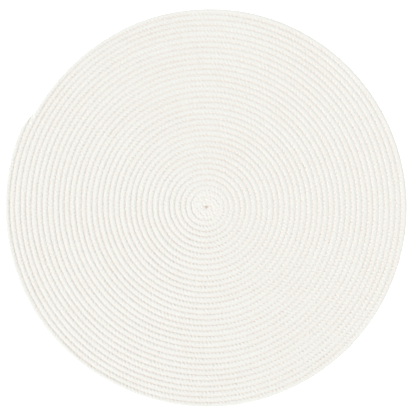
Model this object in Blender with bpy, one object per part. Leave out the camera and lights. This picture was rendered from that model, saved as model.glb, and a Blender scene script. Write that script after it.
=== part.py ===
"""Round placemat: one braided cotton cord, wound in a flat spiral and sewn to itself turn by turn.

Metres, +Z up. The mat lies on z = 0, with the middle of its outline over the origin. Seen from above,
the cord winds outwards clockwise. A winding is a number of turns counted along the cord from the
middle, and a seam is the line where one turn meets the next one out.
"""

import math

import bmesh
import bpy

# Driving sizes, in metres unless the name says otherwise
CORD_PITCH = 0.00526  # from each seam to the next one out
TURNS = 36.765  # whole length of the cord, in turns
THICKNESS = 0.0046
SEAM_DEPTH = 0.0013  # how far a seam lies below the crown of the cord, above and below alike
CROWN_SHARE = 0.45  # part of the cord's width that is pressed flat at its crown
START_DIRECTION = math.radians(67.0)  # where the cord leaves the middle, from +X towards +Y
TAIL_TURNS = 0.02  # length over which the outer end thins out, in turns
DIMPLE_DEPTH = 0.0019  # of the small hollow in the middle
DIMPLE_TURNS = 0.8  # length over which the cord rises out of that hollow, in turns

# How far the rim lies outside an even spiral, where the mat is out of round
RIM_ROWS = (
    # direction in degrees, offset in metres
    (0.0, 0.0003),
    (45.0, 0.0004),
    (75.0, -0.0003),
    (105.0, -0.0018),
    (125.0, -0.0030),
    (142.0, -0.0037),
    (160.0, -0.0013),
    (185.0, -0.0009),
    (215.0, -0.0004),
    (245.0, -0.0013),
    (285.0, -0.0004),
    (325.0, 0.0001),
)
RIM_FADE = 14  # power of the radius with which that offset dies out inwards

# Fineness of the faceted spiral
CHORD_ROWS = (
    # first turn, chords in each turn from there on
    (0, 12),
    (3, 18),
    (8, 24),
    (15, 28),
    (23, 32),
    (31, 36),
)
RIM_REFINEMENT = 3  # chords of the rim, which is the mat's outline, for each chord of the cord
TAIL_CHORDS = 4
NARROWEST_CHORD = 0.3  # as a share of a full one, next to the tail
SMOOTH_ANGLE = math.radians(60.0)

COTTON_COLOUR = (0.83, 0.81, 0.76, 1.0)
COTTON_ROUGHNESS = 0.9

FULL_TURN = 2.0 * math.pi


def ease(share):
    """A smooth step from 0 to 1 while share runs from 0 to 1."""
    share = min(max(share, 0.0), 1.0)
    return share * share * (3.0 - 2.0 * share)


def direction_at(winding):
    """Direction of the cord from the middle, in radians."""
    return START_DIRECTION - FULL_TURN * winding


def rim_offset(direction):
    """Offset of the rim in a direction, eased from row to row of RIM_ROWS."""
    degrees = math.degrees(direction) % 360.0
    first_degrees, first_offset = RIM_ROWS[0]
    rows = RIM_ROWS + ((first_degrees + 360.0, first_offset),)
    for (low, low_offset), (high, high_offset) in zip(rows, rows[1:]):
        if low <= degrees <= high:
            share = ease((degrees - low) / (high - low))
            return low_offset + (high_offset - low_offset) * share
    return first_offset


def even_seam_radius(winding):
    """Radius of the seam at a winding, before the tail thins out."""
    winding = max(winding, 0.0)
    fade = (winding / TURNS) ** RIM_FADE
    return CORD_PITCH * winding + rim_offset(direction_at(winding)) * fade


def tail_share(winding):
    """0 along the cord, growing to 1 at the tip of its outer end."""
    return min(max((winding - TURNS + TAIL_TURNS) / TAIL_TURNS, 0.0), 1.0)


def seam_radius(winding):
    """Radius of the seam, or of the rim, on the outer side of the cord."""
    inner = even_seam_radius(winding - 1.0)
    outer = even_seam_radius(winding)
    return inner + (outer - inner) * (1.0 - tail_share(winding) ** 2)


def crown_radius(winding, side):
    """Radius of the edge of the cord's flat crown: side -1 is the inner edge and +1 the outer one."""
    inner = even_seam_radius(winding - 1.0)
    outer = seam_radius(winding)
    return (inner + outer) / 2.0 + side * CROWN_SHARE * (outer - inner) / 2.0


def seam_depth(winding):
    """Depth of the seam below the face: deeper in the middle, and half the thickness on the rim."""
    dimple = (DIMPLE_DEPTH - SEAM_DEPTH) * (1.0 - ease(winding / DIMPLE_TURNS))
    opening = ease((winding - (TURNS - 1.0 - TAIL_TURNS)) / TAIL_TURNS)
    return SEAM_DEPTH + dimple + (THICKNESS / 2.0 - SEAM_DEPTH) * opening


def crown_depth(winding):
    """Depth of the crown below the face: 0 but for the start and the tail of the cord."""
    dimple = DIMPLE_DEPTH * (1.0 - ease(winding / DIMPLE_TURNS))
    return dimple + THICKNESS / 2.0 * tail_share(winding) ** 2


def windings(first, last, refinement=1):
    """Windings between first and last, at the same directions in each turn of one row of CHORD_ROWS."""
    marks = []
    ends = [start for start, _ in CHORD_ROWS[1:]] + [math.ceil(TURNS)]
    for (start, chords), end in zip(CHORD_ROWS, ends):
        chords *= refinement
        margin = NARROWEST_CHORD / chords
        row = [start + step / chords for step in range((end - start) * chords)]
        marks += [mark for mark in row if first + margin < mark < last - margin]
    return marks


def tail_windings(last):
    """Evenly spaced windings over the length of the tail, up to but without last."""
    return [last - TAIL_TURNS * (1.0 - step / TAIL_CHORDS) for step in range(TAIL_CHORDS)]


def rim_windings():
    """Windings of the rim, between the tip of the tail and the turn before it."""
    return windings(TURNS - 1.0, TURNS - TAIL_TURNS, RIM_REFINEMENT) + tail_windings(TURNS)


def middle_of_outline():
    """Middle of the mat's bounding box, measured from the middle of the spiral."""
    rim = [(seam_radius(w), direction_at(w)) for w in rim_windings()]
    across = [radius * math.cos(direction) for radius, direction in rim]
    along = [radius * math.sin(direction) for radius, direction in rim]
    return (min(across) + max(across)) / 2.0, (min(along) + max(along)) / 2.0


def add_point(mesh, winding, radius, height):
    """A vertex of the coil, measured from the middle of the spiral."""
    direction = direction_at(winding)
    return mesh.verts.new((radius * math.cos(direction), radius * math.sin(direction), height))


def join_lines(mesh, inner, outer):
    """Fills the strip between two lines with triangles.

    Each line is a list of (winding, vertex). The line that lags behind takes the next step, so the
    two lines may have their points at different windings.
    """
    i = 0
    j = 0
    while i < len(inner) - 1 or j < len(outer) - 1:
        inner_next = i < len(inner) - 1
        if inner_next and (j == len(outer) - 1 or inner[i + 1][0] <= outer[j + 1][0]):
            corners = (inner[i][1], outer[j][1], inner[i + 1][1])
            i += 1
        else:
            corners = (inner[i][1], outer[j][1], outer[j + 1][1])
            j += 1
        if len(set(corners)) == 3:
            mesh.faces.new(corners)


def add_face_of_mat(mesh, base, up, rim, tip):
    """The ribs of one face of the mat, from its middle out to the rim.

    base is the height of the crowns, and up is +1 where depth is measured upwards, as it is on the
    underside, or -1. rim and tip are shared by both faces.
    """
    middle = add_point(mesh, 0.0, 0.0, base + up * DIMPLE_DEPTH)
    seam = [(0.0, middle)]
    for w in windings(0.0, TURNS - 1.0 - TAIL_TURNS) + tail_windings(TURNS - 1.0):
        seam.append((w, add_point(mesh, w, seam_radius(w), base + up * seam_depth(w))))
    seam.append((TURNS - 1.0, tip))

    crowns = []
    for side in (-1.0, 1.0):
        edge = [(0.0, middle)]
        for w in windings(0.0, TURNS - TAIL_TURNS) + tail_windings(TURNS):
            edge.append((w, add_point(mesh, w, crown_radius(w, side), base + up * crown_depth(w))))
        edge.append((TURNS, tip))
        crowns.append(edge)

    inner_seam = [(0.0, middle)] + [(w + 1.0, point) for w, point in seam]
    outer_seam = seam + rim + [(TURNS, tip)]
    join_lines(mesh, inner_seam, crowns[0])
    join_lines(mesh, crowns[0], crowns[1])
    join_lines(mesh, crowns[1], outer_seam)


def build_mat(name, collection):
    """The coiled cord as one closed solid, with the same ribs on its face and on its underside.

    No modifier sweeps a section along a flat spiral whose turns share their seams, so the strips
    between the lines of the spiral are filled one by one.
    """
    mesh = bmesh.new()
    rim_height = THICKNESS / 2.0
    rim = [(w, add_point(mesh, w, seam_radius(w), rim_height)) for w in rim_windings()]
    tip = add_point(mesh, TURNS, even_seam_radius(TURNS - 1.0), rim_height)
    add_face_of_mat(mesh, THICKNESS, -1.0, rim, tip)
    add_face_of_mat(mesh, 0.0, 1.0, rim, tip)
    bmesh.ops.recalc_face_normals(mesh, faces=mesh.faces)

    data = bpy.data.meshes.new(name)
    mesh.to_mesh(data)
    mesh.free()
    data.shade_smooth()
    data.set_sharp_from_angle(angle=SMOOTH_ANGLE)
    mat = bpy.data.objects.new(name, data)
    middle_x, middle_y = middle_of_outline()
    mat.location = (-middle_x, -middle_y, 0.0)
    collection.objects.link(mat)
    return mat


def cotton():
    """Matt off-white cotton."""
    material = bpy.data.materials.new("undyed_cotton")
    material.use_nodes = True
    shader = material.node_tree.nodes["Principled BSDF"]
    shader.inputs["Base Color"].default_value = COTTON_COLOUR
    shader.inputs["Roughness"].default_value = COTTON_ROUGHNESS
    shader.inputs["Metallic"].default_value = 0.0
    material.diffuse_color = COTTON_COLOUR
    return material


def main():
    for old in list(bpy.data.objects):
        bpy.data.objects.remove(old)
    collection = bpy.data.collections.new("round_placemat")
    bpy.context.scene.collection.children.link(collection)
    mat = build_mat("coiled_mat", collection)
    mat.data.materials.append(cotton())


main()
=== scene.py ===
"""Looks of the round placemat: a braided cotton cord, its sewing thread, loose fibres and a studio.

Metres, +Z up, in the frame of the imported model. A place on the cord is given by how far it lies across
(0 at the cord's inner seam and 1 at its outer one) and by how many stitches it lies along. A winding
is a number of turns counted along the cord from the middle, and the seam at a winding parts that turn
from the next one out. The cord winds outwards clockwise, seen from above.
"""

import logging
import math
from dataclasses import dataclass
from enum import Enum, IntEnum
from typing import Union

import bpy
import numpy as np
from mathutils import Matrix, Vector
from numpy.typing import NDArray


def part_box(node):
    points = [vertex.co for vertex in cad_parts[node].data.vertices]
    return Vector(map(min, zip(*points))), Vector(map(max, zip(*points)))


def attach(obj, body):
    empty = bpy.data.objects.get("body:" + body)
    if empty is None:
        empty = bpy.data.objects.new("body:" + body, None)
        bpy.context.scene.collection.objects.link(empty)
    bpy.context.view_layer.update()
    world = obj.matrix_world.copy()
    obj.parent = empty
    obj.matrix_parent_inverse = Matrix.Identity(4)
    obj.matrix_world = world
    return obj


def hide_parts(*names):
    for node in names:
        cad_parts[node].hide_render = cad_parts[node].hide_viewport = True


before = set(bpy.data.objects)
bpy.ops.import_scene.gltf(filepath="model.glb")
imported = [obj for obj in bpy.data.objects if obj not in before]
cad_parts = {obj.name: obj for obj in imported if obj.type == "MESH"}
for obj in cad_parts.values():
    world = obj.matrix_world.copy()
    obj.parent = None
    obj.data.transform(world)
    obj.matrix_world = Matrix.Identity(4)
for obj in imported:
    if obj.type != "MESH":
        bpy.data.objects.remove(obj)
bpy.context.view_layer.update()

Array = NDArray[np.float64]

NODE = "coiled_mat"
BODY = "root"
LIE = "lie_on_cord"
CLEAR = "clearness_of_braid"
MILLIMETRE = 0.001
WHITE = (1.0, 1.0, 1.0, 1.0)
FULL_TURN = 2.0 * math.pi
OFF_AXIS = (0.13, 0.21, 0.97)  # a direction that no thread or fibre runs along

logger = logging.getLogger("round_placemat")


class Seed(IntEnum):
    """Starts of the random numbers, one for each thing that is uneven."""

    SWAY = 3
    LUMPS = 5
    FLUFF = 6
    JITTER = 11
    SIZE = 12
    SAG = 21
    FIBRES = 31


def ease(share: Array) -> Array:
    """A smooth step from 0 to 1 while share runs from 0 to 1."""
    share = np.clip(share, 0.0, 1.0)
    return share * share * (3.0 - 2.0 * share)


def blend(low: Array, high: Array, share: Array) -> Array:
    """The value that lies a share of the way from low to high."""
    return low + (high - low) * share


class Ripple:
    """Smooth, seeded unevenness over one or two measures, with a spread of about 1."""

    WAVES = 14

    def __init__(self, seed: int, shortest: float, longest: float, measures: int = 1) -> None:
        """Draws the waves.

        Args:
            seed: Start of the random numbers, so that each run gives the same waves.
            shortest: Length of the shortest wave, in the unit of the measures.
            longest: Length of the longest wave.
            measures: 1 for unevenness along a line, or 2 for a surface.
        """
        chance = np.random.default_rng(seed)
        lengths = shortest * (longest / shortest) ** chance.random(self.WAVES)
        headings = chance.normal(size=(self.WAVES, measures))
        headings /= np.linalg.norm(headings, axis=1, keepdims=True)
        self.turns_per_unit = headings / lengths[:, None]
        self.starts = chance.random(self.WAVES)

    def at(self, *measures: Array) -> Array:
        """The unevenness at places given by their measures.

        Args:
            *measures: One array for each measure, all of one shape.

        Returns:
            The unevenness, in the same shape.
        """
        total = np.zeros(np.shape(measures[0]))
        for rates, start in zip(self.turns_per_unit, self.starts):
            phase = start + sum(rate * measure for rate, measure in zip(rates, measures))
            total += np.sin(FULL_TURN * phase)
        return total * math.sqrt(2.0 / self.WAVES)


@dataclass(frozen=True)
class Coil:
    """Path of the cord: a flat spiral whose neighbouring turns share their seams."""

    pitch: float = 5.26 * MILLIMETRE
    turns: float = 36.765
    stitch: float = 3.59 * MILLIMETRE
    start_direction: float = math.radians(67.0)
    tail_turns: float = 0.02
    tail_power: float = 2.0
    tail_fall: float = 0.30  # share of its height that the cord loses at the tip
    opening_share: float = 0.35  # part of the tail that leaves the turn inside it open
    against_from: float = 0.5  # where that turn begins to feel the tail, across it
    against_over: float = 0.4
    rim_fade: int = 14
    sway: float = 0.10 * MILLIMETRE
    sway_start_turns: float = 3.0
    sway_waves: Ripple = Ripple(Seed.SWAY, 0.09, 0.6)  # over turns
    rim_steps: int = 3601  # points that the rim's box is measured at
    # How far the rim lies outside an even spiral: direction in degrees, offset in metres
    rim_rows: tuple[tuple[float, float], ...] = (
        (0.0, 0.0003),
        (45.0, 0.0004),
        (75.0, -0.0003),
        (105.0, -0.0018),
        (125.0, -0.0030),
        (142.0, -0.0037),
        (160.0, -0.0013),
        (185.0, -0.0009),
        (215.0, -0.0004),
        (245.0, -0.0013),
        (285.0, -0.0004),
        (325.0, 0.0001),
    )

    def direction(self, winding: Array) -> Array:
        """Direction of the cord from the middle, in radians."""
        return self.start_direction - FULL_TURN * winding

    def rim_offset(self, direction: Array) -> Array:
        """Offset of the rim in some directions, eased from row to row of rim_rows.

        Args:
            direction: Directions from the middle, in radians.

        Returns:
            How far the rim lies outside an even spiral, in metres.
        """
        first_degrees, first_offset = self.rim_rows[0]
        rows = np.array(self.rim_rows + ((first_degrees + 360.0, first_offset),))
        degrees = np.degrees(direction) % 360.0
        row = np.clip(np.searchsorted(rows[:, 0], degrees, side="right") - 1, 0, len(rows) - 2)
        share = (degrees - rows[row, 0]) / (rows[row + 1, 0] - rows[row, 0])
        return blend(rows[row, 1], rows[row + 1, 1], ease(share))

    def even_seam(self, winding: Array) -> Array:
        """Radius of the seam at some windings, before the tail thins out.

        Args:
            winding: Turns along the cord. Those below 0 count as 0.

        Returns:
            The radii, in metres.
        """
        winding = np.maximum(winding, 0.0)
        fade = (winding / self.turns) ** self.rim_fade
        sway = self.sway * ease(winding / self.sway_start_turns) * self.sway_waves.at(winding)
        return self.pitch * winding + self.rim_offset(self.direction(winding)) * fade + sway

    def tail_share(self, winding: Array) -> Array:
        """0 along the cord, growing to 1 at the tip of its outer end."""
        return np.clip((winding - self.turns + self.tail_turns) / self.tail_turns, 0.0, 1.0)

    def rim_share(self, winding: Array) -> Array:
        """0 where the cord has another turn outside it, growing to 1 where it is the rim."""
        opening = self.opening_share * self.tail_turns
        return ease((winding - (self.turns - 1.0 - opening)) / opening)

    def width(self, winding: Array) -> Array:
        """Width of the cord, which thins out along its tail."""
        whole = self.even_seam(winding) - self.even_seam(winding - 1.0)
        return whole * (1.0 - self.tail_share(winding) ** self.tail_power)

    def beside_tail(self, winding: Array, across: Array) -> Array:
        """How near the tip is, along the tail and on the outer side of the turn that it lies against.

        Args:
            winding: Turns along the cord.
            across: 0 at the inner seam and 1 at the outer one.

        Returns:
            0 where there is no tail, growing to 1 at its tip.
        """
        against = np.where(winding < self.turns - 1.0, self.tail_share(winding + 1.0), 0.0)
        near = ease((across - self.against_from) / self.against_over)
        return self.tail_share(winding) + against * near

    def height_share(self, winding: Array) -> Array:
        """Share of its whole height that the cord keeps, which falls a little towards the tip."""
        return 1.0 - self.tail_fall * self.tail_share(winding) ** self.tail_power

    def winding_at(self, stitches: Array) -> Array:
        """Winding that lies some stitches along the cord, read off the spiral's length.

        Args:
            stitches: Stitches from the start of the cord. Those before it count as 0.

        Returns:
            The windings, no further than the cord's end.
        """
        unit = math.pi * self.pitch / self.stitch
        stitches = np.maximum(stitches, 0.0)
        first_turn = np.sqrt(2.0 * stitches / unit)
        later_turn = 0.5 + np.sqrt(np.maximum(stitches / unit - 0.25, 0.0))
        return np.minimum(np.where(stitches < unit / 2.0, first_turn, later_turn), self.turns)

    def stitches_to(self, winding: Array) -> Array:
        """Number of stitches from the start of the cord to a winding after its first turn."""
        return math.pi * self.pitch / self.stitch * (winding**2 - winding + 0.5)

    def middle(self) -> tuple[float, float]:
        """Place of the spiral's middle.

        Returns:
            Its x and y, which put the rim in the middle of the CAD solid's box.
        """
        winding = np.linspace(self.turns - 1.0, self.turns, self.rim_steps)
        radius = self.even_seam(winding - 1.0) + self.width(winding)
        across = radius * np.cos(self.direction(winding))
        along = radius * np.sin(self.direction(winding))
        low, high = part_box(NODE)
        return (
            (low.x + high.x) / 2.0 - float(across.min() + across.max()) / 2.0,
            (low.y + high.y) / 2.0 - float(along.min() + along.max()) / 2.0,
        )

    def place(
        self, winding: Array, across: Array, height: Array, inwards: Array | float = 0.0
    ) -> Array:
        """Points of the cord.

        Args:
            winding: Turns along the cord.
            across: 0 at the inner seam and 1 at the outer one.
            height: Height above the surface that the mat lies on.
            inwards: How far the points are moved towards the middle.

        Returns:
            The points, with one more axis than the arguments.
        """
        middle_x, middle_y = self.middle()
        radius = self.even_seam(winding - 1.0) + self.width(winding) * across - inwards
        radius = np.maximum(radius, 0.0)
        direction = self.direction(winding)
        x = middle_x + radius * np.cos(direction)
        y = middle_y + radius * np.sin(direction)
        return np.stack([x, y, np.broadcast_to(height, x.shape)], axis=-1)


@dataclass(frozen=True)
class Braid:
    """Relief of the braid: plump strands on the cord's inner edge and flat ones on its outer edge."""

    apex: float = 0.44  # where the strands of the two edges meet, across the cord
    inner_lean: float = 0.36  # stitches that an inner strand leans over its part of the width
    outer_lean: float = 0.20
    inner_yarn_lean: float = 0.50  # the same for the yarns that a strand is made of
    outer_yarn_lean: float = 0.42
    fulness: float = 2.0  # higher is a squarer strand with a narrower notch
    notch_depth: float = 0.32 * MILLIMETRE
    notch_from: float = 0.12  # the notch is full up to here, across the cord
    notch_fade: float = 0.55
    dip_depth: float = 0.19 * MILLIMETRE  # where the thread pulls at the outer edge
    dip_at: float = 0.80
    dip_spread: float = 0.20
    dip_lean: float = 1.10  # stitches that the thread runs on, over the cord's whole width
    bulge: float = 0.22 * MILLIMETRE  # how far a strand laps over the turn inside it
    bulge_at: float = 0.07
    bulge_spread: float = 0.13
    rib_depth: float = 0.15 * MILLIMETRE  # between the strands of the outer edge
    rib_grow: float = 0.15  # width over which a rib grows, from the apex outwards
    rib_until: float = 0.85
    rib_fade: float = 0.10
    back_depth: float = 0.45 * MILLIMETRE
    unevenness: float = 0.20
    furthest: float = 2.0  # limit of what differs from strand to strand, in spreads
    jitter: float = 0.045  # in stitches
    bare_turns: float = 2.0  # turns that show no braid, in the lumpy middle
    start_turns: float = 2.8  # length over which the braid then grows clear
    start_depth: float = 0.10  # share of the grooves' depth that the first turns have
    start_relief: float = 0.12  # share of the strands' relief that they have
    lump: float = 0.15 * MILLIMETRE
    lump_waves: Ripple = Ripple(Seed.LUMPS, 0.0018, 0.005, 2)
    fluff: float = 0.085 * MILLIMETRE  # small lumps all over the face
    fluff_waves: Ripple = Ripple(Seed.FLUFF, 0.0015, 0.004, 2)
    sag: float = 0.04 * MILLIMETRE
    sag_waves: Ripple = Ripple(Seed.SAG, 14.0, 60.0)  # over stitches

    def grown(self, winding: Array) -> Array:
        """0 in the lumpy middle, growing to 1 where the braid is clear."""
        return ease((winding - self.bare_turns) / self.start_turns)

    def notch_reach(self, across: Array) -> Array:
        """1 at the inner edge and 0 where the notches have died out."""
        return 1.0 - ease((across - self.notch_from) / self.notch_fade)

    def dip_reach(self, across: Array) -> Array:
        """1 where the thread pulls at the outer edge, and 0 away from there."""
        return np.exp(-(((across - self.dip_at) / self.dip_spread) ** 2))

    def rib_reach(self, across: Array) -> Array:
        """1 over the outer strands, and 0 at the apex and at the outer edge."""
        grown = ease((across - self.apex) / self.rib_grow)
        return grown * (1.0 - ease((across - self.rib_until) / self.rib_fade))

    def lean(self, across: Array) -> Array:
        """Stitches that a strand has run on at some places across, beyond where it crosses the apex."""
        return self.run_on(across, self.inner_lean, self.outer_lean)

    def yarn_lean(self, across: Array) -> Array:
        """Stitches that the yarns of a strand have run on, in the same way."""
        return self.run_on(across, self.inner_yarn_lean, self.outer_yarn_lean)

    def run_on(self, across: Array, inner: float, outer: float) -> Array:
        """Stitches run on, from none at the apex to a whole lean at each edge.

        Args:
            across: Places across the cord.
            inner: Lean of the inner part.
            outer: Lean of the outer part.

        Returns:
            The stitches run on at each place.
        """
        inwards = np.clip((self.apex - across) / self.apex, 0.0, 1.0)
        outwards = np.clip((across - self.apex) / (1.0 - self.apex), 0.0, 1.0)
        return inner * inwards + outer * outwards

    def strand(self, phase: Array) -> Array:
        """1 along the middle of a strand and 0 in the notch beside it."""
        return 1.0 - np.abs(2.0 * (phase % 1.0) - 1.0) ** self.fulness

    def of_each(self, seed: int, count: int, rows: Array) -> Array:
        """Unevenness that differs from strand to strand, blended between them.

        Args:
            seed: Start of the random numbers.
            count: Number of strands along the cord.
            rows: Places along the cord, in stitches.

        Returns:
            The unevenness at each place, with a spread of about 1.
        """
        drawn = np.random.default_rng(seed).normal(size=count)
        return np.interp(rows, np.arange(count), drawn.clip(-self.furthest, self.furthest))


class Section(Enum):
    """Sections of the cord: across and height, both as shares, within the mat and then at the rim."""

    FACE = (
        (-0.020, 0.500, -0.020, 0.500),
        (0.045, 0.715, 0.045, 0.715),
        (0.125, 0.865, 0.125, 0.865),
        (0.235, 0.960, 0.235, 0.960),
        (0.370, 1.000, 0.370, 1.000),
        (0.520, 0.990, 0.530, 0.998),
        (0.680, 0.925, 0.710, 0.985),
        (0.830, 0.785, 0.860, 0.940),
        (0.945, 0.620, 0.960, 0.820),
        (1.020, 0.500, 1.000, 0.560),
    )
    RIM = FACE + (
        (1.020, 0.500, 0.990, 0.305),
        (1.020, 0.500, 0.930, 0.130),
    )
    BACK = (
        (0.000, 0.478, 0.000, 0.478),
        (1.000, 0.478, 0.960, 0.478),
        (0.985, 0.326, 0.970, 0.326),
        (0.870, 0.087, 0.900, 0.109),
        (0.660, 0.000, 0.660, 0.000),
        (0.340, 0.000, 0.340, 0.000),
        (0.130, 0.087, 0.130, 0.087),
        (0.015, 0.326, 0.015, 0.326),
    )


def add_piece(name: str, points: Array, quads: NDArray[np.int64], lie: Array) -> bpy.types.Object:
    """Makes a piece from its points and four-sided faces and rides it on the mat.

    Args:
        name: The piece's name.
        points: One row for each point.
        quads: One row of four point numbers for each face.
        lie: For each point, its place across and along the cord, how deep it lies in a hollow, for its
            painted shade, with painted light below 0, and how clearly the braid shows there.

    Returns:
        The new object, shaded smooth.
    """
    mesh = bpy.data.meshes.new(name)
    mesh.vertices.add(len(points))
    mesh.vertices.foreach_set("co", points.astype(np.float32).ravel())
    mesh.loops.add(quads.size)
    mesh.loops.foreach_set("vertex_index", quads.astype(np.int32).ravel())
    mesh.polygons.add(len(quads))
    mesh.polygons.foreach_set("loop_start", np.arange(0, quads.size, 4, dtype=np.int32))
    mesh.update(calc_edges=True)
    mesh.shade_smooth()
    place = mesh.attributes.new(LIE, "FLOAT_VECTOR", "POINT")
    place.data.foreach_set("vector", lie[:, :3].astype(np.float32).ravel())
    clear = mesh.attributes.new(CLEAR, "FLOAT", "POINT")
    clear.data.foreach_set("value", lie[:, 3].astype(np.float32))
    piece = bpy.data.objects.new(name, mesh)
    bpy.context.scene.collection.objects.link(piece)
    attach(piece, BODY)
    return piece


def loose_lie(count: int, hollow: float) -> Array:
    """What add_piece takes as lie for threads and fibres, which are no part of the braid.

    Args:
        count: Number of points.
        hollow: How deep they lie in a hollow, for painted shade; below 0, how much painted light they
            get.

    Returns:
        One row of four numbers for each point.
    """
    lie = np.zeros((count, 4))
    lie[:, 2] = hollow
    return lie


def grid_quads(rows: int, columns: int, closed: bool) -> NDArray[np.int64]:
    """Faces of a grid of points, numbered row by row.

    Args:
        rows: Rows of points along the cord.
        columns: Points in each row.
        closed: True if the last point of a row joins the first, as round a tube.

    Returns:
        One row of four point numbers for each face.
    """
    row = np.arange(rows - 1)[:, None] * columns
    column = np.arange(columns if closed else columns - 1)
    after = (column + 1) % columns
    corners = [row + column, row + after, row + columns + after, row + columns + column]
    return np.stack(corners, axis=-1).reshape(-1, 4)


def tubes(paths: Array, radii: Array, sides: int) -> tuple[Array, NDArray[np.int64]]:
    """Fine round threads along many short paths.

    Args:
        paths: The points of each path, as an array of paths by points by 3.
        radii: Radius of a thread at each of its points.
        sides: Sides of a thread.

    Returns:
        The points of all the threads, and their faces.
    """
    count, length, _ = paths.shape
    heading = np.gradient(paths, axis=1)
    heading /= np.linalg.norm(heading, axis=2, keepdims=True)
    beside = np.cross(heading, OFF_AXIS)
    beside /= np.linalg.norm(beside, axis=2, keepdims=True)
    above = np.cross(beside, heading)
    angle = FULL_TURN * np.arange(sides) / sides
    ring = np.cos(angle)[:, None] * beside[:, :, None] + np.sin(angle)[:, None] * above[:, :, None]
    points = paths[:, :, None] + ring * radii[None, :, None, None]
    one = grid_quads(length, sides, closed=True)
    starts = np.arange(count)[:, None, None] * (length * sides)
    return points.reshape(-1, 3), (one + starts).reshape(-1, 4)


@dataclass(frozen=True)
class Spots:
    """Places on the cord, as arrays of rows by columns."""

    row: Array  # in stitches, where the row of points crosses the apex
    across: Array
    winding: Array
    at_rim: Array  # 1 on the outermost turn and 0 elsewhere
    outer_side: Array  # 1 on the open side of the outermost turn and 0 elsewhere


@dataclass(frozen=True)
class Dimple:
    """Small three-sided hollow in the middle of the mat, with the furrow where the cord starts."""

    depth: float = 1.5 * MILLIMETRE
    radius: float = 2.2 * MILLIMETRE
    corner: float = 0.42  # how far the hollow's corners stand out, as a share of its radius
    corner_direction: float = math.radians(20.0)
    furrow_depth: float = 0.45 * MILLIMETRE
    furrow_length: float = 8.0 * MILLIMETRE
    furrow_spread: float = 0.55 * MILLIMETRE
    furrow_direction: float = math.radians(22.0)
    furrow_bend: float = -0.8  # how far it has turned at its end, in radians
    furrow_fade: float = 0.25  # last part of its length, over which it fades out

    def sunk(self, x: Array, y: Array) -> Array:
        """Depth of the hollow and of its furrow.

        Args:
            x: Distance to the right of the middle of the spiral.
            y: Distance above it.

        Returns:
            How far the face lies below its usual height.
        """
        radius = np.hypot(x, y)
        direction = np.arctan2(y, x)
        reach = self.radius * (1.0 + self.corner * np.cos(3.0 * (direction - self.corner_direction)))
        hollow = self.depth * (1.0 - ease(radius / reach))
        share = radius / self.furrow_length
        turned = direction - self.furrow_direction - self.furrow_bend * share**2
        beside = radius * np.sin((turned + math.pi) % FULL_TURN - math.pi)
        ahead = np.cos(turned) > 0.0
        furrow = self.furrow_depth * np.exp(-((beside / self.furrow_spread) ** 2)) * ahead
        fade = ease((share - (1.0 - self.furrow_fade)) / self.furrow_fade)
        return hollow + furrow * (1.0 - fade)


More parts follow.
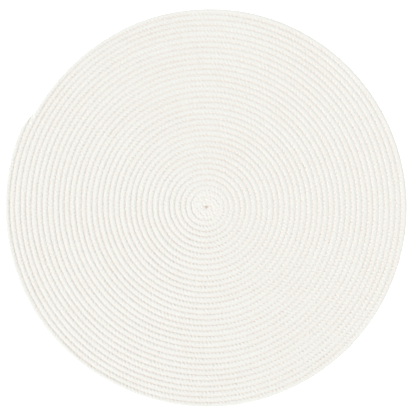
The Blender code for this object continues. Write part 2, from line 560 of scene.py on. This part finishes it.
@dataclass(frozen=True)
class CordSurface:
    """Turns places on the cord into points, with the braid's relief."""

    coil: Coil
    braid: Braid
    dimple: Dimple
    thickness: float
    depth: float = 0.275  # how deep the grooves between turns are, as a share of the tables' depth
    tail_filled: float = 0.8  # share of the groove beside the tail that is filled at its tip
    spare_strands: int = 4
    open_from: float = 0.45  # where the outermost turn's open side begins, across the cord
    open_over: float = 0.40
    painted_light_from: float = 0.82  # where the painted light on its edge begins
    painted_light_share: float = 0.6  # how much of the painted light colour that edge has
    notch_shade: float = 0.07  # painted shade: how much deeper the notches look than they are, as they are narrow
    notch_shade_at: float = 0.20  # where they look deepest, across the cord
    notch_shade_spread: float = 0.17
    back_hollow: float = 0.5  # painted shade of the underside's hollows, as a share of the face's

    def strands(self) -> int:
        """Number of strands drawn along the whole cord, with a few to spare."""
        return int(self.coil.stitches_to(self.coil.turns)) + self.spare_strands

    def jitter(self, row: Array) -> Array:
        """How far each strand is out of its even place, in stitches."""
        return self.braid.jitter * self.braid.of_each(Seed.JITTER, self.strands(), row)

    def level(self, table_height: Array, spots: Spots) -> Array:
        """Height of the plain face, with its grooves as shallow as the sewing leaves them.

        Args:
            table_height: Heights from the table of a section, as a share of the thickness.
            spots: Places on the face. The open side of the outermost turn keeps its full depth.

        Returns:
            Heights above the surface that the mat lies on.
        """
        shallow = self.depth * blend(self.braid.start_depth, 1.0, self.braid.grown(spots.winding))
        shallow = shallow * (1.0 - self.tail_filled * self.coil.beside_tail(spots.winding, spots.across))
        return self.thickness * (1.0 - (1.0 - table_height) * blend(shallow, 1.0, spots.outer_side))

    def sunk(self, spots: Spots) -> Array:
        """How far the strands and the sewing sink the face below its plain height.

        Args:
            spots: Places on the face.

        Returns:
            Depths, in metres.
        """
        braid = self.braid
        grown = braid.grown(spots.winding)
        size = 1.0 + braid.unevenness * braid.of_each(Seed.SIZE, self.strands(), spots.row)
        notch = braid.notch_depth * braid.notch_reach(spots.across) * (1.0 - braid.strand(spots.row))
        rib = braid.rib_depth * braid.rib_reach(spots.across) * (1.0 - braid.strand(spots.row + 0.5))
        beside = self.coil.stitches_to(spots.winding + 1.0)
        beside = beside - braid.inner_lean - braid.dip_lean * (1.0 - spots.across)
        dip = braid.dip_depth * braid.dip_reach(spots.across) * (1.0 - braid.strand(beside))
        sag = braid.sag * braid.sag_waves.at(np.broadcast_to(spots.row, spots.across.shape))
        strands = notch * size + rib + dip * (1.0 - spots.outer_side)
        return strands * blend(braid.start_relief, 1.0, grown) + sag

    def points(self, rows: Array, section: Section, relief: bool) -> tuple[Array, Array]:
        """Points of a length of cord, and where each lies on it.

        Args:
            rows: Where the rows of points cross the apex, in stitches along the cord.
            section: The table that gives the points of a row.
            relief: False for the back, whose strands are pressed flat.

        Returns:
            The points, as an array of rows by columns by 3, and what add_piece takes as lie for
            each of them, as an array of rows by columns by 4.
        """
        braid = self.braid
        table = np.array(section.value)
        row = rows[:, None]
        winding = self.coil.winding_at(row + braid.lean(table[None, :, 0]) + self.jitter(row))
        at_rim = self.coil.rim_share(winding)
        across = blend(table[None, :, 0], table[None, :, 2], at_rim)
        height = blend(table[None, :, 1], table[None, :, 3], at_rim)
        outer_side = at_rim * ease((across - self.open_from) / self.open_over)
        spots = Spots(row, across, winding, at_rim, outer_side)
        points, hollow = self.of_face(height, spots) if relief else self.of_back(height, spots)
        points[..., 2] *= self.coil.height_share(winding)
        along_yarn = row + braid.lean(across) - braid.yarn_lean(across)
        lie = np.stack([across, along_yarn, hollow, braid.grown(winding)], axis=-1)
        return points, lie

    def of_face(self, table_height: Array, spots: Spots) -> tuple[Array, Array]:
        """Points of the face, with all its relief.

        Args:
            table_height: Heights from the table of a section, as a share of the thickness.
            spots: Places of the points.

        Returns:
            The points, and how deep each lies in a hollow, with painted shade added in the notches.
        """
        braid = self.braid
        grown = braid.grown(spots.winding)
        strand = braid.strand(spots.row)
        lap = np.exp(-(((spots.across - braid.bulge_at) / braid.bulge_spread) ** 2))
        inwards = braid.bulge * lap * strand * grown
        level = self.level(table_height, spots) - self.sunk(spots)
        points = self.coil.place(spots.winding, spots.across, level, inwards)
        points[..., 2] += self.unevenness(points, spots.winding)
        # Painted shade: the narrow notches count deeper than they lie, for the colour only
        near = np.exp(-(((spots.across - self.notch_shade_at) / self.notch_shade_spread) ** 2))
        notch = near * (1.0 - strand) * grown
        depth = 1.0 - points[..., 2] / self.thickness + self.notch_shade * notch
        return points, self.hollow(depth, spots)

    def of_back(self, table_height: Array, spots: Spots) -> tuple[Array, Array]:
        """Points of the core and of the underside.

        Args:
            table_height: Heights from the table of a section, as a share of the thickness.
            spots: Places of the points.

        Returns:
            The points, and how deep each lies in a hollow of the underside, for its painted shade.
        """
        level = self.thickness * table_height + self.back_relief(spots)
        points = self.coil.place(spots.winding, spots.across, level)
        return points, self.hollow(self.back_hollow * level / self.thickness, spots)

    def hollow(self, depth: Array, spots: Spots) -> Array:
        """How deep points lie in a hollow, which sets the shade painted into their colour.

        Args:
            depth: Depths, as a share of the thickness.
            spots: Places of the points.

        Returns:
            Painted shade, 0 on the crowns and 1 half the thickness down, but below 0 on the rim's edge
            for painted light.
        """
        edge = ease((spots.across - self.painted_light_from) / (1.0 - self.painted_light_from))
        hollow = np.clip(2.0 * depth, 0.0, 1.0)
        return blend(hollow, -self.painted_light_share, edge * spots.at_rim)

    def back_relief(self, spots: Spots) -> Array:
        """How far the notches between strands rise into the pressed underside."""
        middle = spots.across * (1.0 - spots.across) * 4.0
        return self.braid.back_depth * middle * (1.0 - self.braid.strand(spots.row))

    def unevenness(self, points: Array, winding: Array) -> Array:
        """Lumps of the cotton and the hollow in the middle.

        Args:
            points: Points of the face.
            winding: Turns along the cord, for each point.

        Returns:
            What is added to each point's height.
        """
        braid = self.braid
        x, y = points[..., 0], points[..., 1]
        middle_x, middle_y = self.coil.middle()
        lumps = (1.0 - braid.grown(winding)) * braid.lump * braid.lump_waves.at(x, y)
        fluff = braid.fluff * braid.fluff_waves.at(x, y)
        return lumps + fluff - self.dimple.sunk(x - middle_x, y - middle_y)


@dataclass(frozen=True)
class CordFace:
    """Face of the cord, in a few lengths that follow on from each other."""

    surface: CordSurface
    rows_per_stitch: int = 6
    lengths: int = 4
    early: int = 1  # stitches by which the first and the last length begin early

    def build(self) -> list[bpy.types.Object]:
        """Makes the lengths within the mat, and then the outermost turn.

        Returns:
            The pieces, from the middle outwards.
        """
        coil = self.surface.coil
        last_turn = int(coil.stitches_to(coil.turns - 1.0 - coil.tail_turns)) - self.early
        marks = np.linspace(-self.early, last_turn, self.lengths + 1).round()
        pieces = []
        for number, (first, last) in enumerate(zip(marks, marks[1:]), start=1):
            pieces.append(self.add_length(f"cord_face_{number}", first, last, Section.FACE))
        end = math.ceil(coil.stitches_to(coil.turns))
        pieces.append(self.add_length("cord_face_rim", last_turn, end, Section.RIM))
        return pieces

    def add_length(self, name: str, first: float, last: float, section: Section) -> bpy.types.Object:
        """Makes one length of the face.

        Args:
            name: The piece's name.
            first: Where it begins, in stitches along the cord.
            last: Where it ends.
            section: The table that gives the points of a row.

        Returns:
            The piece.
        """
        count = int(round((last - first) * self.rows_per_stitch)) + 1
        rows = np.linspace(first, last, count)
        points, lie = self.surface.points(rows, section, relief=True)
        quads = grid_quads(count, points.shape[1], closed=False)
        piece = add_piece(name, points.reshape(-1, 3), quads[:, ::-1], lie.reshape(-1, 4))
        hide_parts(NODE)
        return piece


@dataclass(frozen=True)
class CordBack:
    """Core and underside of the cord, as one closed length wound from the middle to the tail."""

    surface: CordSurface
    rows_per_stitch: int = 2
    # Faces that close an end of the cord, by the numbers of the section's points
    cap: tuple[tuple[int, int, int, int], ...] = ((0, 1, 2, 7), (7, 2, 3, 6), (6, 3, 4, 5))

    def build(self) -> bpy.types.Object:
        """Makes the back of the whole coil.

        Returns:
            The piece.
        """
        coil = self.surface.coil
        end = coil.stitches_to(coil.turns)
        count = int(end * self.rows_per_stitch) + 1
        rows = np.arange(count) / self.rows_per_stitch
        points, lie = self.surface.points(rows, Section.BACK, relief=False)
        columns = points.shape[1]
        quads = grid_quads(count, columns, closed=True)
        last = (count - 1) * columns
        cap = np.array(self.cap)
        quads = np.concatenate([quads[:, ::-1], cap, last + cap[:, ::-1]])
        piece = add_piece("cord_back", points.reshape(-1, 3), quads, lie.reshape(-1, 4))
        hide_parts(NODE)
        return piece


Link = Union["Value", float, int, tuple]


class Maths(Enum):
    """The Math nodes' operations that the finishes use."""

    ADD = "ADD"
    SUBTRACT = "SUBTRACT"
    MULTIPLY = "MULTIPLY"
    SINE = "SINE"
    ABSOLUTE = "ABSOLUTE"


class Value:
    """One output of a node, which can be used in expressions."""

    def __init__(self, shader: "Shader", socket: bpy.types.NodeSocket) -> None:
        """Keeps the output and the shader that it belongs to."""
        self.shader = shader
        self.socket = socket

    def __add__(self, other: Link) -> "Value":
        """This value plus another."""
        return self.shader.maths(Maths.ADD, self, other)

    def __radd__(self, other: Link) -> "Value":
        """Another value plus this one."""
        return self.shader.maths(Maths.ADD, other, self)

    def __sub__(self, other: Link) -> "Value":
        """This value less another."""
        return self.shader.maths(Maths.SUBTRACT, self, other)

    def __rsub__(self, other: Link) -> "Value":
        """Another value less this one."""
        return self.shader.maths(Maths.SUBTRACT, other, self)

    def __mul__(self, other: Link) -> "Value":
        """This value times another."""
        return self.shader.maths(Maths.MULTIPLY, self, other)

    def __rmul__(self, other: Link) -> "Value":
        """Another value times this one."""
        return self.shader.maths(Maths.MULTIPLY, other, self)


class Shader:
    """The nodes of one material."""

    def __init__(self, name: str) -> None:
        """Makes the material, with a Principled shader and nothing linked to it.

        Args:
            name: The material's name.
        """
        self.material = bpy.data.materials.new(name)
        self.material.use_nodes = True
        self.tree = self.material.node_tree
        self.principled = self.tree.nodes["Principled BSDF"]

    def node(
        self, kind: str, settings: dict[str, object], sockets: dict[str | int, Link]
    ) -> bpy.types.Node:
        """Adds a node.

        Args:
            kind: The node's type.
            settings: Its own settings, which are set first.
            sockets: Values or links for its inputs, by name or number.

        Returns:
            The node.
        """
        made = self.tree.nodes.new(kind)
        for name, setting in settings.items():
            setattr(made, name, setting)
        for key, value in sockets.items():
            self.feed(made.inputs[key], value)
        return made

    def feed(self, socket: bpy.types.NodeSocket, value: Link) -> None:
        """Links or sets one input.

        Args:
            socket: The input.
            value: A link to follow, or a number or colour that is the same all over.
        """
        if isinstance(value, Value):
            self.tree.links.new(value.socket, socket)
        else:
            socket.default_value = value

    def maths(self, operation: Maths, *values: Link) -> Value:
        """Adds a Math node for an operation on numbers."""
        made = self.node("ShaderNodeMath", {"operation": operation.value}, dict(enumerate(values)))
        return Value(self, made.outputs[0])

    def mix(self, share: Link, low: Link, high: Link) -> Value:
        """Mixes two colours.

        Args:
            share: How far the mix lies from low to high. It is kept between 0 and 1.
            low: The first colour.
            high: The second colour.

        Returns:
            The mix.
        """
        settings = {"data_type": "RGBA", "clamp_factor": True}
        # The inputs for colours bear the same names as those for numbers, so they go by number
        made = self.node("ShaderNodeMix", settings, {0: share, 6: low, 7: high})
        return Value(self, made.outputs[2])

    def lie(self) -> tuple[Value, Value, Value]:
        """Where each point of a surface lies on the cord.

        Returns:
            Its place across the cord and along it, and how deep it lies in a hollow, for its painted
            shade, with painted light below 0.
        """
        attribute = self.node("ShaderNodeAttribute", {"attribute_name": LIE}, {})
        vector = Value(self, attribute.outputs["Vector"])
        parts = self.node("ShaderNodeSeparateXYZ", {}, {0: vector})
        across, along, hollow = (Value(self, output) for output in parts.outputs)
        return across, along, hollow

    def clearness(self) -> Value:
        """How clearly the braid shows at each point of a surface."""
        attribute = self.node("ShaderNodeAttribute", {"attribute_name": CLEAR}, {})
        return Value(self, attribute.outputs["Fac"])

    def vector(self, x: Link, y: Link, z: Link) -> Value:
        """A vector made of three numbers."""
        made = self.node("ShaderNodeCombineXYZ", {}, {0: x, 1: y, 2: z})
        return Value(self, made.outputs[0])

    def place(self) -> Value:
        """The place of each point of a surface, in metres."""
        made = self.node("ShaderNodeTexCoord", {}, {})
        return Value(self, made.outputs["Object"])

    def noise(self, place: Value, scale: float, detail: float) -> Value:
        """Smooth noise from about 0 to 1."""
        sockets = {"Vector": place, "Scale": scale, "Detail": detail}
        return Value(self, self.node("ShaderNodeTexNoise", {}, sockets).outputs[0])

    def bump(self, height: Value, strength: float, distance: float) -> Value:
        """A normal that follows a height."""
        sockets = {"Strength": strength, "Distance": distance, "Height": height}
        return Value(self, self.node("ShaderNodeBump", {}, sockets).outputs[0])


@dataclass(frozen=True)
class CottonFinish:
    """Matt undyed cotton whose yarns run along the strands of the braid."""

    # Its colour has painted shade in the hollows and painted light on the rim's edge, the tacks and the
    # fibres
    name: str = "undyed_cotton"
    light: tuple[float, float, float, float] = (0.855, 0.865, 0.833, 1.0)
    # Colour of the painted shade in hollows and notches, which also serves for darker random tone
    shade: tuple[float, float, float, float] = (0.803, 0.719, 0.641, 1.0)
    painted_light_colour: tuple[float, float, float, float] = (0.950, 0.952, 0.930, 1.0)  # painted light, on the rim and the tacks
    roughness: float = 0.88
    sheen: float = 0.25
    sheen_roughness: float = 0.6
    specular: float = 0.2
    yarns: int = 4  # side by side in a strand
    fibres: float = 16.0  # streaks in a stitch
    streak_width: float = 5.0  # streaks over the cord's width
    streak_depth: float = 2.0  # streaks from the crown down into a hollow
    streak_detail: float = 3.0
    grain_scale: float = 1900.0  # per metre, as for flecks and clouds
    grain_detail: float = 2.0
    fleck_scale: float = 900.0
    fleck_detail: float = 1.0
    cloud_scale: float = 45.0
    cloud_detail: float = 3.0
    hollow_painted_shade: float = 2.0  # painted shade: how much darker the cotton is painted in a hollow
    cloud_tint: float = 0.12
    streak_tint: float = 0.5
    yarn_tint: float = 0.10
    fleck_tint: float = 1.45
    bare_tint: float = 0.16  # where no braid shows, as for the next one
    bare_fleck_tint: float = 0.6
    yarn_rise: float = 0.60  # share of the bump's height, as for the next three
    streak_rise: float = 0.45
    grain_rise: float = 0.35
    fleck_rise: float = 0.80
    bump_strength: float = 0.7
    bump_distance: float = 0.22 * MILLIMETRE

    def material(self) -> bpy.types.Material:
        """Makes the material.

        Returns:
            The material, ready for a piece.
        """
        shader = Shader(self.name)
        across, along, hollow = shader.lie()
        yarn = shader.maths(Maths.ABSOLUTE, shader.maths(Maths.SINE, along * (math.pi * self.yarns)))
        streak_place = shader.vector(
            across * self.streak_width, along * self.fibres, hollow * self.streak_depth
        )
        streak = shader.noise(streak_place, 1.0, self.streak_detail)
        place = shader.place()
        grain = shader.noise(place, self.grain_scale, self.grain_detail)
        cloud = shader.noise(place, self.cloud_scale, self.cloud_detail)
        fleck = shader.noise(place, self.fleck_scale, self.fleck_detail)
        clear = shader.clearness()
        height = clear * (self.yarn_rise * yarn + self.streak_rise * streak)
        height = height + self.grain_rise * grain + self.fleck_rise * fleck
        bare = 1.0 - clear
        # Painted shade in the hollows, then tone that differs at random
        share = self.hollow_painted_shade * hollow + self.cloud_tint * (cloud - 0.5)
        share = share + self.streak_tint * clear * (0.5 - streak)
        share = share + (self.fleck_tint + self.bare_fleck_tint * bare) * (fleck - 0.5)
        share = share + self.yarn_tint * (1.0 - yarn) + self.bare_tint * bare
        cotton = shader.mix(share, self.light, self.shade)
        socket = shader.principled.inputs
        # Painted light where the hollow share is below 0: the rim's edge, the tacks and the fibres
        shader.feed(socket["Base Color"], shader.mix(0.0 - hollow, cotton, self.painted_light_colour))
        shader.feed(socket["Normal"], shader.bump(height, self.bump_strength, self.bump_distance))
        shader.feed(socket["Roughness"], self.roughness)
        shader.feed(socket["Sheen Weight"], self.sheen)
        shader.feed(socket["Sheen Roughness"], self.sheen_roughness)
        shader.feed(socket["Specular IOR Level"], self.specular)
        return shader.material


@dataclass(frozen=True)
class SeamThread:
    """The sewing thread: one short stitch over each notch, from turn to turn."""

    surface: CordSurface
    radius: float = 0.17 * MILLIMETRE
    sink: float = 0.28 * MILLIMETRE  # how deep the ends of a stitch lie in the cotton
    outer_end: float = 0.19  # where a stitch enters the turn outside the seam, across it
    inner_end: float = -0.20  # where it enters the turn inside the seam
    sides: int = 3
    finish: CottonFinish = CottonFinish(
        name="sewing_thread", light=(0.88, 0.87, 0.83, 1.0), yarns=2, fibres=9.0
    )

    def build(self) -> bpy.types.Object:
        """Makes the stitches of the whole seam.

        Returns:
            The piece.
        """
        coil = self.surface.coil
        first = math.ceil(coil.stitches_to(1.0 + self.surface.braid.start_turns))
        last = int(coil.stitches_to(coil.turns - coil.tail_turns))
        notch = np.arange(first, last, dtype=float)
        ends = [self.end(notch, across) for across in (self.outer_end, self.inner_end)]
        middle = (ends[0] + ends[1]) / 2.0
        for end in ends:
            end[:, 2] -= self.sink
        paths = np.stack([ends[0], middle, ends[1]], axis=1)
        points, quads = tubes(paths, np.full(paths.shape[1], self.radius), self.sides)
        lie = loose_lie(len(points), 0.0)
        lie[:, 1] = np.repeat(notch, len(points) // len(notch))
        piece = add_piece("sewing_thread", points, quads, lie)
        piece.data.materials.append(self.finish.material())
        return piece

    def end(self, notch: Array, across: float) -> Array:
        """Points where the stitches sink into the cotton at one of their ends.

        Args:
            notch: Numbers of the notches that the stitches lie in.
            across: Place of the end across the turn that the notches are in.

        Returns:
            One point for each stitch.
        """
        surface = self.surface
        braid = surface.braid
        table = np.array(Section.FACE.value)
        height = float(np.interp(across % 1.0, table[:, 0], table[:, 1]))
        run = braid.lean(np.array(across)) + braid.dip_lean * max(-across, 0.0)
        along = notch + run + surface.jitter(notch)
        winding = surface.coil.winding_at(along)
        places = np.full(notch.shape, across)
        within = np.zeros(notch.shape)
        level = surface.level(np.array(height), Spots(notch, places, winding, within, within))
        if across > 0.0:
            level = level - braid.notch_depth * braid.notch_reach(places)
        else:
            level = level - braid.dip_depth * braid.dip_reach(places % 1.0)
        return surface.coil.place(winding, places, level)


@dataclass(frozen=True)
class EndTacks:
    """Small bars of thread on the last full turn, which hold the tip of the cord's outer end."""

    surface: CordSurface
    back_from_tip: tuple[float, ...] = (0.0020, 0.0085)  # turns from the tip back to each bar
    threads: tuple[int, ...] = (5, 8)  # side by side in each bar
    spacing: float = 0.00030  # in turns
    across: tuple[float, ...] = (0.30, 0.42, 0.56, 0.70)
    rise: tuple[float, ...] = (-0.30, 0.06, 0.08, -0.30)  # above the crown, in millimetres
    radius: float = 0.20 * MILLIMETRE
    sides: int = 6
    painted_lightness: float = 1.0  # share of the painted light colour

    def build(self) -> bpy.types.Object:
        """Makes both bars as one piece.

        Returns:
            The piece.
        """
        coil = self.surface.coil
        windings = []
        for back, threads in zip(self.back_from_tip, self.threads):
            steps = np.arange(threads) - (threads - 1) / 2.0
            windings.append(coil.turns - 1.0 - back + self.spacing * steps)
        winding = np.concatenate(windings)[:, None]
        winding, across = np.broadcast_arrays(winding, np.array(self.across))
        level = self.surface.thickness + MILLIMETRE * np.array(self.rise)
        paths = coil.place(winding, across, level)
        points, quads = tubes(paths, np.full(len(self.across), self.radius), self.sides)
        return add_piece("end_tacks", points, quads, loose_lie(len(points), -self.painted_lightness))


@dataclass(frozen=True)
class LooseFibres:
    """Short fibres that stand off the cotton, most of them along the rim."""

    surface: CordSurface
    at_rim: int = 2200
    on_face: int = 1600
    shortest: float = 0.7 * MILLIMETRE
    longest: float = 2.2 * MILLIMETRE
    radius: float = 0.026 * MILLIMETRE
    taper: tuple[float, ...] = (1.2, 1.0, 0.4)  # of the radius, from the root to the tip
    sides: int = 3
    painted_lightness: float = 0.5  # share of the painted light colour
    least_height: float = 3.0  # above the table, in radii
    curl: float = 0.35  # sideways, as a share of the length
    middle_curl: float = 0.3  # share of the curl that the middle of a fibre has
    spread: float = 0.8  # of the fibres' directions, in radians
    rim_across: tuple[float, float] = (0.93, 0.98)
    rim_height: tuple[float, float] = (1.2 * MILLIMETRE, 3.2 * MILLIMETRE)
    rim_rise: tuple[float, float] = (0.10, 0.35)  # average and spread, as a share of the length
    face_across: tuple[float, float] = (0.3, 0.7)
    face_rise: tuple[float, float] = (0.15, 0.45)  # least and most
    root_depth: float = 0.2 * MILLIMETRE  # below the face
    # Rough places on the rim: direction in degrees, and how many of its fibres stand there
    tufts: tuple[tuple[float, int], ...] = ((-70.5, 60), (-64.0, 35))
    tuft_spread: float = math.radians(0.5)

    def build(self) -> bpy.types.Object:
        """Makes all the fibres as one piece.

        Returns:
            The piece.
        """
        coil = self.surface.coil
        chance = np.random.default_rng(Seed.FIBRES)
        count = self.at_rim + self.on_face
        total = coil.stitches_to(coil.turns - coil.tail_turns)
        rim_start = coil.stitches_to(coil.turns - 1.0)
        along = np.concatenate(
            [chance.uniform(rim_start, total, self.at_rim), chance.uniform(0.0, total, self.on_face)]
        )
        rim = np.arange(count) < self.at_rim
        winding = coil.winding_at(along)
        first = 0
        for degrees, fibres in self.tufts:
            turned = (coil.start_direction - math.radians(degrees)) % FULL_TURN / FULL_TURN
            spread = self.tuft_spread / FULL_TURN * chance.normal(size=fibres)
            winding[first : first + fibres] = int(coil.turns) - 1.0 + turned + spread
            first += fibres
        across = np.where(
            rim, chance.uniform(*self.rim_across, count), chance.uniform(*self.face_across, count)
        )
        height = np.where(
            rim, chance.uniform(*self.rim_height, count), self.surface.thickness - self.root_depth
        )
        root = coil.place(winding, across, height)
        out = coil.direction(winding) + chance.normal(0.0, self.spread, count)
        length = chance.uniform(self.shortest, self.longest, count)
        rise = np.where(rim, chance.normal(*self.rim_rise, count), chance.uniform(*self.face_rise, count))
        heading = np.stack([np.cos(out), np.sin(out), rise], axis=1)
        curl = chance.normal(0.0, self.curl, (count, 3)) * length[:, None]
        middle = root + heading * (0.5 * length)[:, None] + curl * self.middle_curl
        tip = root + heading * length[:, None] + curl
        path = np.stack([root, middle, tip], axis=1)
        path[..., 2] = np.maximum(path[..., 2], self.least_height * self.radius)
        points, quads = tubes(path, self.radius * np.array(self.taper), self.sides)
        return add_piece("loose_fibres", points, quads, loose_lie(len(points), -self.painted_lightness))


@dataclass(frozen=True)
class FloorFinish:
    """Plain white floor that glows a little, so that no shadow shows on it."""

    name: str = "white_floor"
    shade: tuple[float, float, float, float] = (0.99, 0.99, 0.99, 1.0)
    glow: float = 0.65

    def material(self) -> bpy.types.Material:
        """Makes the material.

        Returns:
            The material, ready for the floor.
        """
        shader = Shader(self.name)
        socket = shader.principled.inputs
        shader.feed(socket["Base Color"], self.shade)
        shader.feed(socket["Emission Color"], WHITE)
        shader.feed(socket["Emission Strength"], self.glow)
        shader.feed(socket["Roughness"], 1.0)
        shader.feed(socket["Specular IOR Level"], 0.0)
        return shader.material


@dataclass(frozen=True)
class Studio:
    """A plain white light table under soft light, seen straight from above."""

    view_width: float = 0.3969
    view_x: float = 0.0020
    view_y: float = 0.0001
    lens: float = 100.0
    sensor: float = 36.0
    nearest: float = 0.01
    furthest: float = 20.0
    floor_size: float = 6.0
    floor_finish: FloorFinish = FloorFinish()
    sky: float = 0.69
    key_strength: float = 1.75
    key_spread: float = math.radians(45.0)
    key_distance: float = 1.5
    key_direction: float = math.radians(208.0)
    key_elevation: float = math.radians(48.0)

    def build(self) -> None:
        """Makes the floor, the lights and the camera."""
        self.add_floor()
        self.add_lights()
        self.add_camera()
        view = bpy.context.scene.view_settings
        view.view_transform = "Standard"
        view.look = "None"
        view.exposure = 0.0
        view.gamma = 1.0

    def add_floor(self) -> None:
        """Makes the floor that the mat lies on."""
        half = self.floor_size / 2.0
        mesh = bpy.data.meshes.new("floor")
        corners = [(-half, -half, 0.0), (half, -half, 0.0), (half, half, 0.0), (-half, half, 0.0)]
        mesh.from_pydata(corners, [], [(0, 1, 2, 3)])
        floor = bpy.data.objects.new("floor", mesh)
        bpy.context.scene.collection.objects.link(floor)
        mesh.materials.append(self.floor_finish.material())

    def add_lights(self) -> None:
        """Makes the white surroundings and one large soft lamp at the lower left."""
        world = bpy.data.worlds.new("studio")
        world.use_nodes = True
        background = world.node_tree.nodes["Background"]
        background.inputs["Color"].default_value = WHITE
        background.inputs["Strength"].default_value = self.sky
        bpy.context.scene.world = world
        lamp = bpy.data.lights.new("key_lamp", "SUN")
        lamp.angle = self.key_spread
        lamp.energy = self.key_strength
        key = bpy.data.objects.new("key_lamp", lamp)
        level = math.cos(self.key_elevation)
        away = Vector(
            (
                math.cos(self.key_direction) * level,
                math.sin(self.key_direction) * level,
                math.sin(self.key_elevation),
            )
        )
        key.location = away * self.key_distance
        key.rotation_mode = "QUATERNION"
        key.rotation_quaternion = away.to_track_quat("Z", "Y")
        bpy.context.scene.collection.objects.link(key)

    def add_camera(self) -> None:
        """Makes the camera, straight above the mat and far enough to frame it as the photo does."""
        data = bpy.data.cameras.new("camera")
        data.lens = self.lens
        data.sensor_width = self.sensor
        data.clip_start = self.nearest
        data.clip_end = self.furthest
        camera = bpy.data.objects.new("camera", data)
        camera.location = (self.view_x, self.view_y, self.view_width * self.lens / self.sensor)
        bpy.context.scene.collection.objects.link(camera)
        bpy.context.scene.camera = camera


def main() -> None:
    """Builds the mat's pieces in order, dresses them and sets up the studio."""
    logging.basicConfig(level=logging.INFO, format="%(message)s")
    low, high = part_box(NODE)
    surface = CordSurface(Coil(), Braid(), Dimple(), thickness=high.z - low.z)
    cotton = CottonFinish().material()
    back = CordBack(surface).build()
    faces = CordFace(surface).build()
    thread = SeamThread(surface).build()
    tacks = EndTacks(surface).build()
    fibres = LooseFibres(surface).build()
    for piece in [back, *faces, tacks, fibres]:
        piece.data.materials.append(cotton)
    Studio().build()
    for piece in [back, *faces, thread, tacks, fibres]:
        logger.info("%s: %d faces", piece.name, len(piece.data.polygons))


if __name__ == "__main__":
    main()
